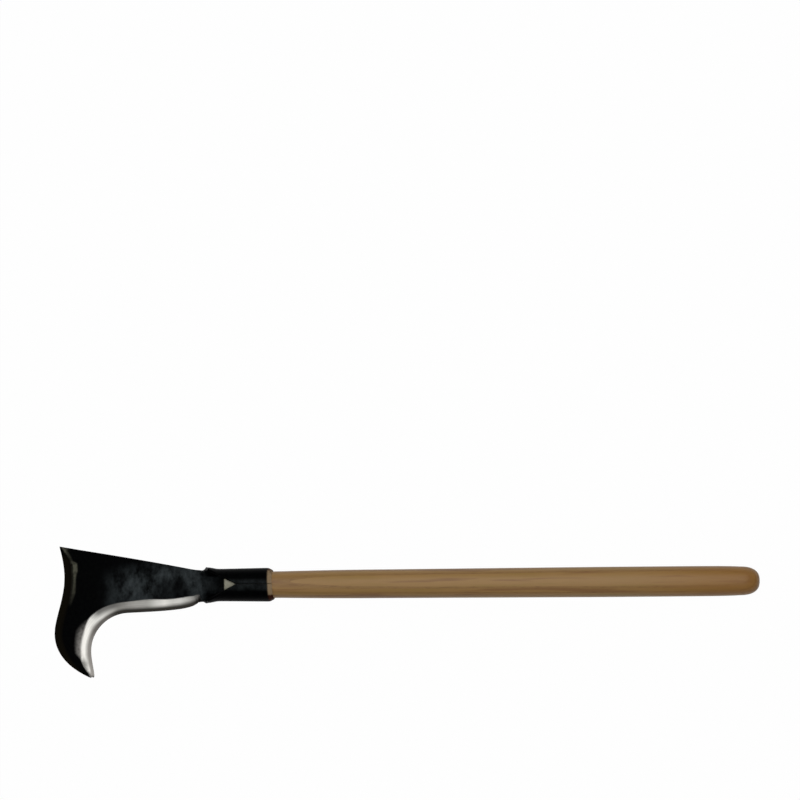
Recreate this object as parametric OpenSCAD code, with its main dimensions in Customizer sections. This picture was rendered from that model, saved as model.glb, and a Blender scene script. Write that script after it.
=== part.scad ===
// Billhook: a forged head with a rolled socket, a turned wooden handle and the nail that holds them.
// The tool lies on its flat back. X runs along the handle from blade to butt, Y points to the spine,
// Z points up. Shapes are drawn with the chamfer of the socket's mouth starting at X = 0, and the
// handle axis at Y = 0.

/* [Blade] */
// Length of the blade from the flat neck to its back corner
blade_length = 157.5; // [140:0.5:190]
// Height of the back corner above the handle axis
corner_rise = 45; // [36:0.5:56]
// Slope of the spine at the back corner, in degrees
spine_angle = 9.3; // [4:0.1:14]
// Height of the neck's spine side above the handle axis
neck_rise = 17.3; // [15:0.1:19]
// Depth of the neck's edge side below the handle axis
neck_drop = 19.4; // [16:0.1:21]
// Slope of the back edge at the back corner, in degrees
corner_angle = 75; // [65:1:88]
// Depth of the hollow in the back edge
back_hollow = 5.4; // [0:0.1:12]
// Height of the hollow's deepest point above the handle axis
hollow_rise = 10; // [0:0.5:20]
// How far the hook's belly stands out past the back corner
belly_bulge = 6.3; // [0:0.1:15]
// Depth of the belly's widest point below the handle axis
belly_drop = 54; // [46:0.5:62]
// Slope of the heel where the cutting edge starts, in degrees
heel_angle = 44; // [25:1:55]
// Length of the straight cutting edge from the flat neck to the throat
edge_length = 80; // [65:0.5:92]
// Depth of the straight cutting edge below the handle axis, at the throat
edge_drop = 30.7; // [26:0.1:36]
// Slope of the straight cutting edge at the throat, in degrees
edge_angle = 2; // [0:0.5:6]
// Width of the hook between belly and gullet
hook_width = 41.4; // [34:0.1:48]
// Depth of the gullet, the innermost point of the hook, below the handle axis
gullet_drop = 74; // [66:0.5:84]
// Depth of the hook's tip below the handle axis
tip_drop = 104; // [94:0.5:120]
// How far the tip stands back from the gullet, towards the handle
tip_setback = 3.4; // [1:0.1:6]
// Slope of the hook's outer side at the tip, in degrees
hook_angle = 25; // [15:1:35]
// Width of the hook's blunt tip
tip_width = 6; // [4:0.1:10]
// Height of the rounding at the tip
tip_round = 3.5; // [2:0.1:5]
// Plate thickness at the neck
neck_plate = 4.6; // [3.5:0.1:6]
// Plate thickness at the back corner
corner_plate = 3.4; // [2.4:0.1:5]
// Plate thickness in the hook
hook_plate = 3.2; // [2.4:0.1:5]

/* [Ground edges] */
// Width of the ground bevel on the straight cutting edge
edge_bevel = 13.2; // [6:0.1:18]
// Width of the ground bevel in the hook's throat
throat_bevel = 16; // [8:0.1:20]
// Width of the honed strip along the very edge
hone_width = 2.2; // [1:0.1:4]
// Thickness of the cutting edge itself
edge_land = 0.5; // [0.3:0.05:1]
// Width of the bevel on the back edge
back_bevel = 10; // [3:0.1:12]
// Thickness left at the back edge
back_land = 1.3; // [0.8:0.1:2.4]
// Chamfer that breaks the forging's unground edges
edge_break = 0.6; // [0.3:0.05:1]

/* [Socket] */
// Length of the socket from the ears to the mouth's chamfer
socket_length = 69.5; // [60:0.5:90]
// Length of the closed seam, from the apex of the V to the mouth's chamfer
seam_length = 38; // [28:0.5:48]
// Gap left between the rolled wings along the seam
seam_gap = 0.5; // [0.4:0.1:2]
// How far round the socket the seam lies from its middle, towards the spine side
seam_shift = 1.2; // [0:0.1:4]
// Outer diameter of the socket at the mouth
mouth_diameter = 38.6; // [34:0.1:42]
// Outer diameter of the socket at its narrow end, beside the ears
throat_diameter = 36.5; // [32:0.1:37]
// Wall of the rolled socket at the mouth
socket_wall = 3.9; // [2.6:0.1:4.5]
// How far the ears stand out past the socket's sides
ear_flare = 2; // [0.3:0.1:3]
// Length of the neck, where the flat plate rolls up into the ears
neck_length = 10.5; // [8:0.5:16]
// Length of the worn chamfer from the socket's wall to the mouth's rim
mouth_chamfer = 5; // [2:0.1:8]
// Width of the flat rim at the mouth
mouth_rim = 1.3; // [0.8:0.1:2]
// How far the mouth is out of square from its spine side to its edge side
mouth_skew = 1.5; // [0:0.1:5]
// How far the mouth is out of square from its seam to its back
mouth_lean = 4; // [0:0.1:8]

/* [Handle] */
// Length of the handle from the start of the mouth's chamfer to the butt
handle_length = 557; // [420:1:700]
// Length of the tenon inside the socket
tenon_length = 51; // [42:0.5:56]
// Length of the slim stretch in front of the mouth
slim_length = 14; // [6:1:40]
// Gap between the tenon and the socket all round
tenon_clearance = 0.3; // [0.25:0.05:0.6]
// Length from the mouth to the waist, where the swell turns into a straight taper up to the grip
waist_length = 130; // [80:1:200]
// Diameter of the waist
waist_diameter = 32.6; // [30:0.1:36]
// Diameter of the grip, the straight stretch before the butt
grip_diameter = 34.4; // [31:0.1:40]
// Length of the straight grip
grip_length = 140; // [100:1:180]
// Length of the taper between the grip and the rounded butt
butt_taper = 14; // [8:0.5:40]
// Diameter at the start of the rounded butt
butt_diameter = 32.8; // [28:0.1:38]
// Length of the rounded butt
butt_round = 24; // [12:0.5:32]
// Chamfer on the tenon's end
tenon_chamfer = 1; // [0.5:0.1:3]

/* [Nail] */
// Distance of the nail from the mouth
nail_setback = 16; // [10:0.5:24]
// Diameter of the nail's shank
nail_diameter = 3.6; // [2.5:0.1:5]
// Length of the nail
nail_length = 24; // [16:0.5:28]
// Diameter of the nail's countersunk head
nail_head = 7.4; // [6:0.1:9]
// Height of the nail's countersunk head
nail_head_height = 2; // [1.2:0.1:2.6]
// How deep the nail's head sits below the socket's back
nail_recess = 0.5; // [0.4:0.05:1]
// Gap between the nail and its hole in the steel
nail_clearance = 0.1; // [0.05:0.05:0.3]
// Gap between the nail and its pilot hole in the wood
pilot_clearance = 0.05; // [0.02:0.01:0.2]

/* [Hidden] */
$fn = 96;

// Points across each section of the head, and sections along each stretch of it
MIDS = 32;
CHAMFER_STEPS = 5;
SEAM_STEPS = 5;
VEE_STEPS = 11;
NECK_STEPS = 13;
SPINE_STEPS = 16;
BACK_STEPS = 8;
HOOK_STEPS = 12;
TIP_STEPS = 4;
// Facets along the handle's swell and round its butt, which is blunter than an ellipse
SWELL_STEPS = 12;
BUTT_STEPS = 12;
BUTT_BLUNT = 0.77;

// Blend from 0 to 1, level at both ends
function ease(t) = let (c = min(1, max(0, t))) c * c * (3 - 2 * c);
function mix(a, b, t) = a + (b - a) * t;
function unit(p) = p / norm(p);
function spread(from, to, steps) = [for (i = [0 : steps - 1]) mix(from, to, i / steps)];

// Cubic curve between two points: it leaves a and enters b along a heading in degrees, and follows
// each heading for a share of the distance between them
function toward(angle) = [cos(angle), sin(angle)];
function span(a, heading_a, share_a, b, heading_b, share_b) =
    let (d = norm(b - a)) [a, a + toward(heading_a) * d * share_a, b - toward(heading_b) * d * share_b, b];
function curve_at(p, t) =
    p[0] * pow(1 - t, 3) + p[1] * 3 * t * pow(1 - t, 2) + p[2] * 3 * t * t * (1 - t) + p[3] * pow(t, 3);
function heading_at(p, t) =
    let (d = (p[1] - p[0]) * pow(1 - t, 2) + (p[2] - p[1]) * 2 * t * (1 - t) + (p[3] - p[2]) * t * t)
    unit(d);

// Chain of curves: the whole part of u picks the curve
function link(chain, u) = min(floor(u), len(chain) - 1);
function chain_at(chain, u) = let (i = link(chain, u)) curve_at(chain[i], u - i);
function chain_heading(chain, u) = let (i = link(chain, u)) heading_at(chain[i], u - i);

// Places along the head
mouth_radius = mouth_diameter / 2;
throat_radius = throat_diameter / 2;
axis_z = mouth_radius;
ear_x = -socket_length;
neck_x = ear_x - neck_length;
apex_x = -seam_length;

// Corners of the blade, by their distance out from the flat neck and their height over the handle axis
function out(d, y) = [neck_x - d, y];
belly_reach = blade_length + belly_bulge;
gullet_reach = belly_reach - hook_width;
tip_reach = gullet_reach - tip_setback;
neck_top = out(0, neck_rise);
neck_bottom = out(0, -neck_drop);
corner = out(blade_length, corner_rise);
hollow = out(blade_length - back_hollow, hollow_rise);
belly = out(belly_reach, -belly_drop);
throat = out(edge_length, -edge_drop);
gullet = out(gullet_reach, -gullet_drop);
tip_outer = out(tip_reach + tip_width, -tip_drop + tip_round * 0.15);
tip_inner = out(tip_reach, -tip_drop + tip_round);
tip_low_outer = out(tip_reach + tip_width * 0.55, -tip_drop);
tip_low_inner = out(tip_reach + tip_width * 0.3, -tip_drop);

// Outer side, from the neck along the spine, down the back edge and round the hook to the tip
outer_chain = [
    span(neck_top, 180, 0.05, corner, 180 - spine_angle, 0.87),
    span(corner, -corner_angle, 0.33, hollow, -90, 0.34),
    span(hollow, -90, 0.39, belly, -90, 0.28),
    span(belly, -90, 0.3, tip_outer, -hook_angle, 0.48),
    span(tip_outer, -hook_angle, 0.3, tip_low_outer, 0, 0.3)
];

// Inner side, from the heel along the cutting edge, round the throat and along the hook to the tip
tip_angle = 90 - atan(tip_setback / (tip_drop - gullet_drop));
inner_chain = [
    span(neck_bottom, 180 + heel_angle, 0.12, throat, 180 + edge_angle, 0.74),
    span(throat, 180 + edge_angle, 0.38, gullet, -90, 0.39),
    span(gullet, -90, 0.31, tip_inner, -tip_angle, 0.32),
    span(tip_inner, -tip_angle, 0.5, tip_low_inner, -180, 0.4)
];

// Sections tie a place on the outer side to a place on the inner side: [outer, inner, steps to the next]
TIES = [
    [0, 0, SPINE_STEPS],
    [1, 1, BACK_STEPS],
    [2, 1.5, BACK_STEPS],
    [3, 2, HOOK_STEPS],
    [4, 3, TIP_STEPS],
    [5, 4, 1]
];
blade_places = [
    for (k = [0 : len(TIES) - 1], i = [0 : TIES[k][2] - 1])
        let (next = TIES[min(k + 1, len(TIES) - 1)], t = i / TIES[k][2])
        [mix(TIES[k][0], next[0], t), mix(TIES[k][1], next[1], t)]
];

// Plate thickness, bevel widths and the thickness left at both sides, along the blade. At the heel the
// bevel is ground square to the handle up to HEEL_END, and the edge is thin from LAND_END on.
tip_plate = hook_plate * 0.7;
tip_edge_bevel = tip_width * 0.7;
tip_back_bevel = tip_width * 0.25;
tip_low_bevel = tip_width * 0.12;
heel_bevel = 8;
HEEL_END = 0.5;
LAND_END = 0.17;
function plate_at(u) =
    u < 1 ? mix(neck_plate, corner_plate, ease(u))
    : u < 3 ? mix(corner_plate, hook_plate, ease((u - 1) / 2))
    : mix(hook_plate, tip_plate, ease((u - 3) / 2));
function back_bevel_at(u) =
    lookup(u, [
        [1, edge_break], [1.5, back_bevel], [3.4, back_bevel], [4, tip_back_bevel], [5, tip_low_bevel]
    ]);
function back_land_at(u) = mix(plate_at(u) - 2 * edge_break, back_land, ease((u - 1) * 3));
function edge_bevel_at(v) =
    lookup(v, [
        [0, heel_bevel], [0.3, edge_bevel * 0.95], [0.6, edge_bevel], [1.2, edge_bevel],
        [1.55, throat_bevel], [2, throat_bevel], [2.3, throat_bevel * 0.82],
        [2.6, throat_bevel * 0.65], [3, tip_edge_bevel], [4, tip_low_bevel]
    ]);
function edge_land_at(u, v) = mix(plate_at(u) - 2 * edge_break, edge_land, ease(v / LAND_END));
function hone_at(v) = min(hone_width, edge_bevel_at(v) * 0.4);

// One section of the blade: [front points, back points]
function blade_section(u, v) =
    let (
        o = chain_at(outer_chain, u),
        i = chain_at(inner_chain, v),
        along_o = chain_heading(outer_chain, u),
        along_i = chain_heading(inner_chain, v),
        into_o = [-along_o[1], along_o[0]],
        into_i = unit(mix([0, 1], [along_i[1], -along_i[0]], ease(v / HEEL_END))),
        plate = plate_at(u),
        land = edge_land_at(u, v),
        ridge_o = o + into_o * back_bevel_at(u),
        ridge_i = i + into_i * edge_bevel_at(v),
        honed = mix(land, plate, 0.9 * hone_at(v) / edge_bevel_at(v)),
        middles = [for (k = [0 : MIDS + 1]) mix(ridge_o, ridge_i, k / (MIDS + 1))],
        plan = concat([o], middles, [i + into_i * hone_at(v), i]),
        thick = concat([back_land_at(u)], [for (k = middles) plate], [honed, land])
    )
    [
        for (side = [1, -1])
            [for (k = [0 : len(plan) - 1]) [plan[k][0], plan[k][1], (plate + side * thick[k]) / 2]]
    ];

// Outer radius of the socket with its flared ears, and how far the plate is rolled up
flare_length = neck_length * 1.25;
function plain_radius(x) = mix(mouth_radius, throat_radius, -x / socket_length);
function socket_radius(x) = plain_radius(x) + ear_flare * ease(1 - (x - ear_x) / flare_length);
function roll(x) = ease((x - neck_x) / neck_length);

// Half width of the plate before it is rolled: the V opens along straight lines, seen from the front,
// and the neck widens late into its wings
WING_POWER = 4.3;
vee_slope = throat_radius / (socket_length - seam_length);
function rolled_wing(x) =
    let (open = max(0, apex_x - x) * vee_slope / socket_radius(x))
    socket_radius(x) * (180 - asin(min(1, open))) * PI / 180 - seam_gap / 2;
function wing(x, flat) =
    x >= ear_x ? rolled_wing(x) : mix(flat, rolled_wing(ear_x), pow((x - neck_x) / neck_length, WING_POWER));

// Wall at an angle from the back: the bore stays on the handle axis while the back stays flat
function wall(x, angle) =
    mix(neck_plate, socket_wall + (mouth_radius - plain_radius(x)) * cos(angle), roll(x));

// One section of the socket or the neck: [front points, back points]. trim takes the outside down.
function socket_section(x, trim = 0) =
    let (
        bend = roll(x) / socket_radius(x),
        up = wing(x, neck_rise) - seam_shift * roll(x),
        down = wing(x, mix(neck_drop, neck_rise, roll(x))) + seam_shift * roll(x),
        middles = [for (k = [0 : MIDS + 1]) mix(up - edge_break, heel_bevel - down, k / (MIDS + 1))],
        places = concat([up], middles, [hone_at(0) - down, -down]),
        last = len(places) - 1,
        near = ease(1 + x / seam_length) / 2 / socket_radius(x)
    )
    [
        for (front = [true, false])
            [
                for (k = [0 : last])
                    let (
                        angle = bend * places[k] * 180 / PI,
                        y = bend > 0 ? sin(angle) / bend : places[k],
                        z = bend > 0 ? (1 - cos(angle)) / bend : 0,
                        cut_back = near * (mouth_skew * y + mouth_lean * (z - socket_radius(x))),
                        nip = (k == 0 || k == last) ? edge_break : 0,
                        depth = front ? wall(x, angle) - nip : trim + nip
                    )
                    [x - cut_back, y - sin(angle) * depth, z + cos(angle) * depth]
            ]
    ];

// Sections of the whole head, from the mouth to the tip
RIM_POWER = 1.1;
rim_trim = socket_wall - mouth_rim;
mouth_sections = [
    for (t = spread(1, 0, CHAMFER_STEPS)) socket_section(mouth_chamfer * t, rim_trim * pow(t, RIM_POWER))
];
socket_places = concat(
    spread(0, apex_x, SEAM_STEPS),
    spread(apex_x, ear_x, VEE_STEPS),
    spread(ear_x, neck_x, NECK_STEPS)
);
head_sections = concat(
    mouth_sections,
    [for (x = socket_places) socket_section(x)],
    [for (p = blade_places) blade_section(p[0], p[1])]
);

// Each section becomes a closed ring, along its front points and home along its back points
half = len(head_sections[0][0]);
ring = 2 * half;
head_points = [
    for (s = head_sections) each concat(s[0], [for (k = [half - 1 : -1 : 0]) s[1][k]])
];
last_ring = len(head_points) - ring;
function cap(first, flip) = [
    for (i = [0 : half - 2])
        let (a = first + i, b = first + ring - 1 - i)
        each flip ? [[a + 1, a, b], [b - 1, a + 1, b]] : [[a, a + 1, b], [a + 1, b - 1, b]]
];
head_faces = concat(
    [
        for (a = [0 : ring : last_ring - ring], i = [0 : ring - 1])
            let (j = (i + 1) % ring)
            each [[a + i, a + ring + i, a + j], [a + j, a + ring + i, a + ring + j]]
    ],
    cap(0, false),
    cap(last_ring, true)
);

// Handle outline along its axis: [distance from the mouth's chamfer, radius]
function tenon_radius(x) = plain_radius(x) - socket_wall - tenon_clearance;
slim_radius = tenon_radius(0);
waist_radius = waist_diameter / 2;
grip_radius = grip_diameter / 2;
butt_start = handle_length - butt_round;
grip_end = butt_start - butt_taper;
grip_start = grip_end - grip_length;
handle_outline = concat(
    [
        [-tenon_length, 0],
        [-tenon_length, tenon_radius(-tenon_length) - tenon_chamfer],
        [tenon_chamfer - tenon_length, tenon_radius(tenon_chamfer - tenon_length)],
        [0, slim_radius]
    ],
    [
        for (t = spread(0, 1, SWELL_STEPS))
            let (swell = 1 - pow(1 - t, 2))
            [mix(slim_length, waist_length, t), mix(slim_radius, waist_radius, swell)]
    ],
    [[waist_length, waist_radius], [grip_start, grip_radius], [grip_end, grip_radius]],
    [
        for (i = [0 : BUTT_STEPS])
            let (a = 90 * i / BUTT_STEPS)
            [
                butt_start + butt_round * pow(sin(a), BUTT_BLUNT),
                butt_diameter / 2 * pow(cos(a), BUTT_BLUNT)
            ]
    ]
);

// The part lies centred over its origin, on the plane Z = 0
outline = [for (p = blade_places) each [chain_at(outer_chain, p[0]), chain_at(inner_chain, p[1])]];
low_x = min([for (p = outline) p[0]]);
low_y = min([for (p = outline) p[1]]);
high_y = max([for (p = outline) p[1]]);
module place() {
    translate([-(low_x + handle_length) / 2, -(low_y + high_y) / 2, 0]) children();
}

// Nail with a gap all round, standing on its head at its place in the socket's back
nail_point = nail_diameter * 0.9;
module nail_shape(gap = 0) {
    r = nail_diameter / 2 + gap;
    translate([-nail_setback, 0, nail_recess])
        rotate_extrude()
            polygon([
                [0, 0],
                [nail_head / 2 + gap, 0],
                [r, nail_head_height],
                [r, nail_length - nail_point],
                [0, nail_length]
            ]);
}

module forged_head() {
    color("#26282a")
        place()
            difference() {
                polyhedron(points = head_points, faces = head_faces);
                nail_shape(nail_clearance);
                translate([-nail_setback, 0, -nail_recess])
                    cylinder(h = 2 * nail_recess, r = nail_head / 2 + nail_clearance);
            }
}

module handle() {
    color("#91734b")
        place()
            difference() {
                translate([0, 0, axis_z])
                    rotate([0, 90, 0])
                        rotate_extrude()
                            polygon([for (p = handle_outline) [p[1], p[0]]]);
                nail_shape(pilot_clearance);
            }
}

module socket_nail() {
    color("#5a5a58")
        place()
            nail_shape();
}

forged_head();
handle();
socket_nail();
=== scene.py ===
"""Billhook: a forged head with a rolled socket on a long turned handle, dressed for its picture.

Everything is in metres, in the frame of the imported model. Sizes are given in millimetres from the centre
of the socket's mouth, on the handle's axis, and are turned to metres where a mesh is made.
"""
import logging
import math
from collections.abc import Sequence
from dataclasses import dataclass, field
from enum import Enum

import bpy
import numpy as np
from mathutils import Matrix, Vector
from mathutils.kdtree import KDTree


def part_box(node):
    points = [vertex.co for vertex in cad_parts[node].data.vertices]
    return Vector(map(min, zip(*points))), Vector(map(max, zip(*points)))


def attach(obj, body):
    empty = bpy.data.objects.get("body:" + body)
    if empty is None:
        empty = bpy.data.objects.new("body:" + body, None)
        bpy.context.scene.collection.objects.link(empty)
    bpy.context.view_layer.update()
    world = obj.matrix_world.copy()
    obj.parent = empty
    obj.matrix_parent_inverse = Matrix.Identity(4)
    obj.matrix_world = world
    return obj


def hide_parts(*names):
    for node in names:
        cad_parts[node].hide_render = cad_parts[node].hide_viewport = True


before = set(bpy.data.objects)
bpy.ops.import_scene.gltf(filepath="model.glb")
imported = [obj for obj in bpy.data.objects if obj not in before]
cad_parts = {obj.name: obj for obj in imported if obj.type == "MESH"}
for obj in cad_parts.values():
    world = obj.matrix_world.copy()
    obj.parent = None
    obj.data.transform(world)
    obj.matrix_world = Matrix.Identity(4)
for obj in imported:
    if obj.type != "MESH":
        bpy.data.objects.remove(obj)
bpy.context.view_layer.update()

LOG = logging.getLogger("billhook")
MM = 0.001
BODY = "root"
WHITE = (1.0, 1.0, 1.0, 1.0)
Pair = tuple[float, float]
Triple = tuple[float, float, float]
# An X beyond either end of the tool, in metres
FAR = 1.0
# Angles from which edges of turned pieces stay crisp and aren't smoothed, in degrees
TURNED_CRISP = 30.0
TURNED_SMOOTH = 35.0
# The wave texture turns by so many radians for each unit of its scaled place
WAVE_RADIANS = 20.0
# Along the cutting edge, by the length run from the heel, in millimetres: how far in the honed strip
# with its painted dark reflection reaches, how much painted shade of the rounded grind darkens the
# bevel towards the ridge, and how far past the ridge and how deep a strip is half ground
HONE_REACH = (
    (4, 14, 30, 42, 52, 92, 101, 110, 124, 132, 152, 160),
    (7.2, 9.2, 9.0, 8.0, 7.6, 7.2, 6.5, 6.6, 10.0, 8.4, 8.4, 6.0),
)
RUN_OUT_SHADE = ((80, 95, 110, 118, 154, 160), (0.0, 1.0, 1.0, 0.0, 0.0, 0.8))
STRIP_REACH = ((117, 126, 132, 140, 150, 157), (0.0, 6.5, 9.5, 8.0, 6.5, 0.0))
STRIP_DEPTH = ((118, 126, 133, 140, 152, 157), (0.0, 0.4, 0.85, 1.0, 1.0, 0.0))
# The painted highlight along the back ridge, by the length run from the corner: where it starts from
# the ridge, how far in it reaches, and how deep it is
RIDGE_HIGHLIGHT_START = ((4, 8, 18, 22, 30, 57), (-0.6, -1.6, -2.0, -0.3, -0.6, -0.8))
RIDGE_HIGHLIGHT_REACH = ((4, 8, 19, 22, 29, 35, 42, 50, 60), (4.2, 3.0, 2.4, 6.6, 6.2, 4.0, 4.0, 4.8, 3.4))
RIDGE_HIGHLIGHT_DEPTH = (
    (1, 3, 6, 9, 13, 18, 24, 31, 40, 50, 56, 66),
    (0.2, 0.9, 0.9, 0.5, 0.35, 0.25, 1.0, 0.9, 0.6, 0.45, 0.3, 0.0),
)


class Slot(Enum):
    """Material slots of the record."""

    STEEL = "blackened_steel"
    WOOD = "turned_wood"
    NAIL = "nail_steel"


class Axis(Enum):
    """Axis that a turned piece stands on: its direction and the turn that lays a circle across it."""

    ALONG = ((1.0, 0.0, 0.0), (0.0, math.pi / 2, 0.0))
    UP = ((0.0, 0.0, 1.0), (0.0, 0.0, 0.0))


def linear(colour: str) -> tuple[float, float, float, float]:
    """Turn an sRGB hex colour to linear light.

    Args:
        colour: the colour as "#rrggbb".

    Returns:
        Red, green, blue and alpha, with alpha 1.
    """
    parts = [int(colour[i : i + 2], 16) / 255 for i in (1, 3, 5)]
    red, green, blue = [c / 12.92 if c <= 0.04045 else ((c + 0.055) / 1.055) ** 2.4 for c in parts]
    return red, green, blue, 1.0


def feed(node: bpy.types.Node, links: dict) -> None:
    """Link output sockets to a node's inputs, by the name or number of each input."""
    for key, socket in links.items():
        node.id_data.links.new(socket, node.inputs[key])


def add_node(
    tree: bpy.types.NodeTree,
    kind: str,
    settings: dict | None = None,
    links: dict | None = None,
) -> bpy.types.Node:
    """Add a node with its settings and links.

    Args:
        tree: the node tree that the node goes into.
        kind: the node's type without its "ShaderNode", such as "Mix".
        settings: values by the name of a property or of an input; "stops" are a colour ramp's stops.
        links: output sockets by the name or number of the input that each one feeds.

    Returns:
        The new node.
    """
    node = tree.nodes.new("ShaderNode" + kind)
    for key, value in (settings or {}).items():
        if key == "stops":
            ramp = node.color_ramp.elements
            while len(ramp) < len(value):
                ramp.new(1.0)
            for stop, (place, colour) in zip(ramp, value):
                stop.position = place
                stop.color = linear(colour)
        elif isinstance(key, str) and hasattr(node, key):
            setattr(node, key, value)
        else:
            node.inputs[key].default_value = value
    feed(node, links or {})
    return node


def empty_tree(owner: bpy.types.Material | bpy.types.World) -> bpy.types.NodeTree:
    """Give a material or a world an empty node tree.

    Args:
        owner: the material or the world.

    Returns:
        The tree.
    """
    owner.use_nodes = True
    owner.node_tree.nodes.clear()
    return owner.node_tree


def new_material(name: str, settings: dict) -> tuple[bpy.types.Material, bpy.types.Node]:
    """Make a material that holds one Principled shader.

    Args:
        name: the material's name.
        settings: the values of the shader's sockets that are the same all over.

    Returns:
        The material and its shader node.
    """
    material = bpy.data.materials.new(name)
    tree = empty_tree(material)
    shader = add_node(tree, "BsdfPrincipled", settings)
    add_node(tree, "OutputMaterial", links={"Surface": shader.outputs["BSDF"]})
    return material, shader


def per_mm(size: float) -> float:
    """Scale of a noise pattern whose features are so many millimetres across."""
    return 1.0 / (size * MM)


def fade(values: np.ndarray, start: np.ndarray | float, full: np.ndarray | float) -> np.ndarray:
    """Blend from 0 to 1, level at both ends.

    Args:
        values: what the blend follows.
        start: where it is 0 and starts.
        full: where it is 1.

    Returns:
        The blend at each value.
    """
    held = np.clip((values - start) / (full - start), 0.0, 1.0)
    return held * held * (3 - 2 * held)


def deselect_all() -> None:
    """Leave edit mode and select nothing."""
    if bpy.context.object and bpy.context.object.mode != "OBJECT":
        bpy.ops.object.mode_set(mode="OBJECT")
    bpy.ops.object.select_all(action="DESELECT")


def make_active(piece: bpy.types.Object) -> None:
    """Select one piece alone and make it the active one.

    Args:
        piece: the piece.
    """
    deselect_all()
    piece.select_set(True)
    bpy.context.view_layer.objects.active = piece


def apply_modifier(piece: bpy.types.Object, kind: str, settings: dict) -> None:
    """Add a modifier to a piece and apply it.

    Args:
        piece: the piece.
        kind: the modifier's type.
        settings: its properties by name.
    """
    make_active(piece)
    modifier = piece.modifiers.new(kind.lower(), kind)
    for key, value in settings.items():
        setattr(modifier, key, value)
    bpy.ops.object.modifier_apply(modifier=modifier.name)


def shade_smooth(piece: bpy.types.Object, angle: float) -> None:
    """Shade a piece smooth, except over edges sharper than an angle in degrees."""
    make_active(piece)
    bpy.ops.object.shade_smooth_by_angle(angle=math.radians(angle))


def crease_edges(piece: bpy.types.Object, angle: float, amount: float, reach: Pair) -> int:
    """Crease the edges that are sharper than an angle, over a stretch of the piece along X.

    Args:
        piece: the piece.
        angle: least angle between the two faces, in degrees.
        amount: the crease, from 0 to 1.
        reach: lowest and highest X of the stretch, in metres.

    Returns:
        The number of creased edges.
    """
    make_active(piece)
    bpy.ops.object.mode_set(mode="EDIT")
    bpy.ops.mesh.select_mode(type="EDGE")
    bpy.ops.mesh.select_all(action="DESELECT")
    bpy.ops.mesh.edges_select_sharp(sharpness=math.radians(angle))
    bpy.ops.object.mode_set(mode="OBJECT")
    mesh = piece.data
    count = 0
    for edge in mesh.edges:
        middle = sum(mesh.vertices[v].co.x for v in edge.vertices) / 2
        edge.select = edge.select and reach[0] <= middle <= reach[1]
        count += edge.select
    bpy.ops.object.mode_set(mode="EDIT")
    bpy.ops.transform.edge_crease(value=amount)
    bpy.ops.object.mode_set(mode="OBJECT")
    return count


def round_turned(piece: bpy.types.Object, crisp_to: float) -> None:
    """Round a turned piece by subdivision, with its sharp edges kept crisp up to an X in metres."""
    crease_edges(piece, TURNED_CRISP, 1.0, (-FAR, crisp_to))
    apply_modifier(piece, "SUBSURF", {"levels": 1, "render_levels": 1})


def turn_on_lathe(
    name: str, axis: Axis, centre: Vector, stations: Sequence[Pair], sides: int
) -> bpy.types.Object:
    """Turn a solid piece: a disc is extruded from station to station and resized at each.

    Args:
        name: the piece's name.
        axis: the axis that it stands on.
        centre: the point that the stations are measured from, in metres.
        stations: distance along the axis and radius at each station, in millimetres.
        sides: number of sides round the piece.

    Returns:
        The piece, closed at both ends, with its place in its mesh.
    """
    direction, turn = axis.value
    direction = Vector(direction)
    place, radius = stations[0]
    deselect_all()
    bpy.ops.mesh.primitive_circle_add(
        vertices=sides,
        radius=radius * MM,
        fill_type="NGON",
        location=centre + direction * place * MM,
        rotation=turn,
    )
    piece = bpy.context.object
    piece.name = piece.data.name = name
    bpy.ops.object.mode_set(mode="EDIT")
    for next_place, next_radius in stations[1:]:
        step = direction * (next_place - place) * MM
        bpy.ops.mesh.extrude_region_move(TRANSFORM_OT_translate={"value": step})
        grow = next_radius / radius
        bpy.ops.transform.resize(
            value=[1.0 if along else grow for along in direction],
            center_override=centre + direction * next_place * MM,
        )
        place, radius = next_place, next_radius
    bpy.ops.mesh.select_all(action="SELECT")
    bpy.ops.mesh.normals_make_consistent(inside=False)
    bpy.ops.object.mode_set(mode="OBJECT")
    bpy.ops.object.transform_apply(location=True, rotation=True, scale=True)
    return piece


def dress(piece: bpy.types.Object, material: bpy.types.Material, node: str) -> None:
    """Give a finished piece its material and its place in the frame.

    Args:
        piece: the finished piece.
        material: its material.
        node: the CAD node that the piece replaces.
    """
    piece.data.materials.clear()
    piece.data.materials.append(material)
    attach(piece, BODY)
    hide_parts(node)
    LOG.info("%s: %d faces for %s", piece.name, len(piece.data.polygons), node)


@dataclass(frozen=True)
class Span:
    """Cubic curve that leaves one point and enters another along headings, in degrees.

    Each heading is followed for a share of the distance between the points. Points are in millimetres.
    """

    start: Pair
    leave: float
    leave_share: float
    end: Pair
    enter: float
    enter_share: float

    def at(self, t: np.ndarray) -> np.ndarray:
        """Find points of the curve.

        Args:
            t: their parameters, from 0 to 1.

        Returns:
            The points, one row each.
        """
        a, d = np.array(self.start), np.array(self.end)
        reach = np.linalg.norm(d - a)
        leave, enter = math.radians(self.leave), math.radians(self.enter)
        b = a + np.array((math.cos(leave), math.sin(leave))) * reach * self.leave_share
        c = d - np.array((math.cos(enter), math.sin(enter))) * reach * self.enter_share
        t = t[:, None]
        return a * (1 - t) ** 3 + b * 3 * t * (1 - t) ** 2 + c * 3 * t**2 * (1 - t) + d * t**3


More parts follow.
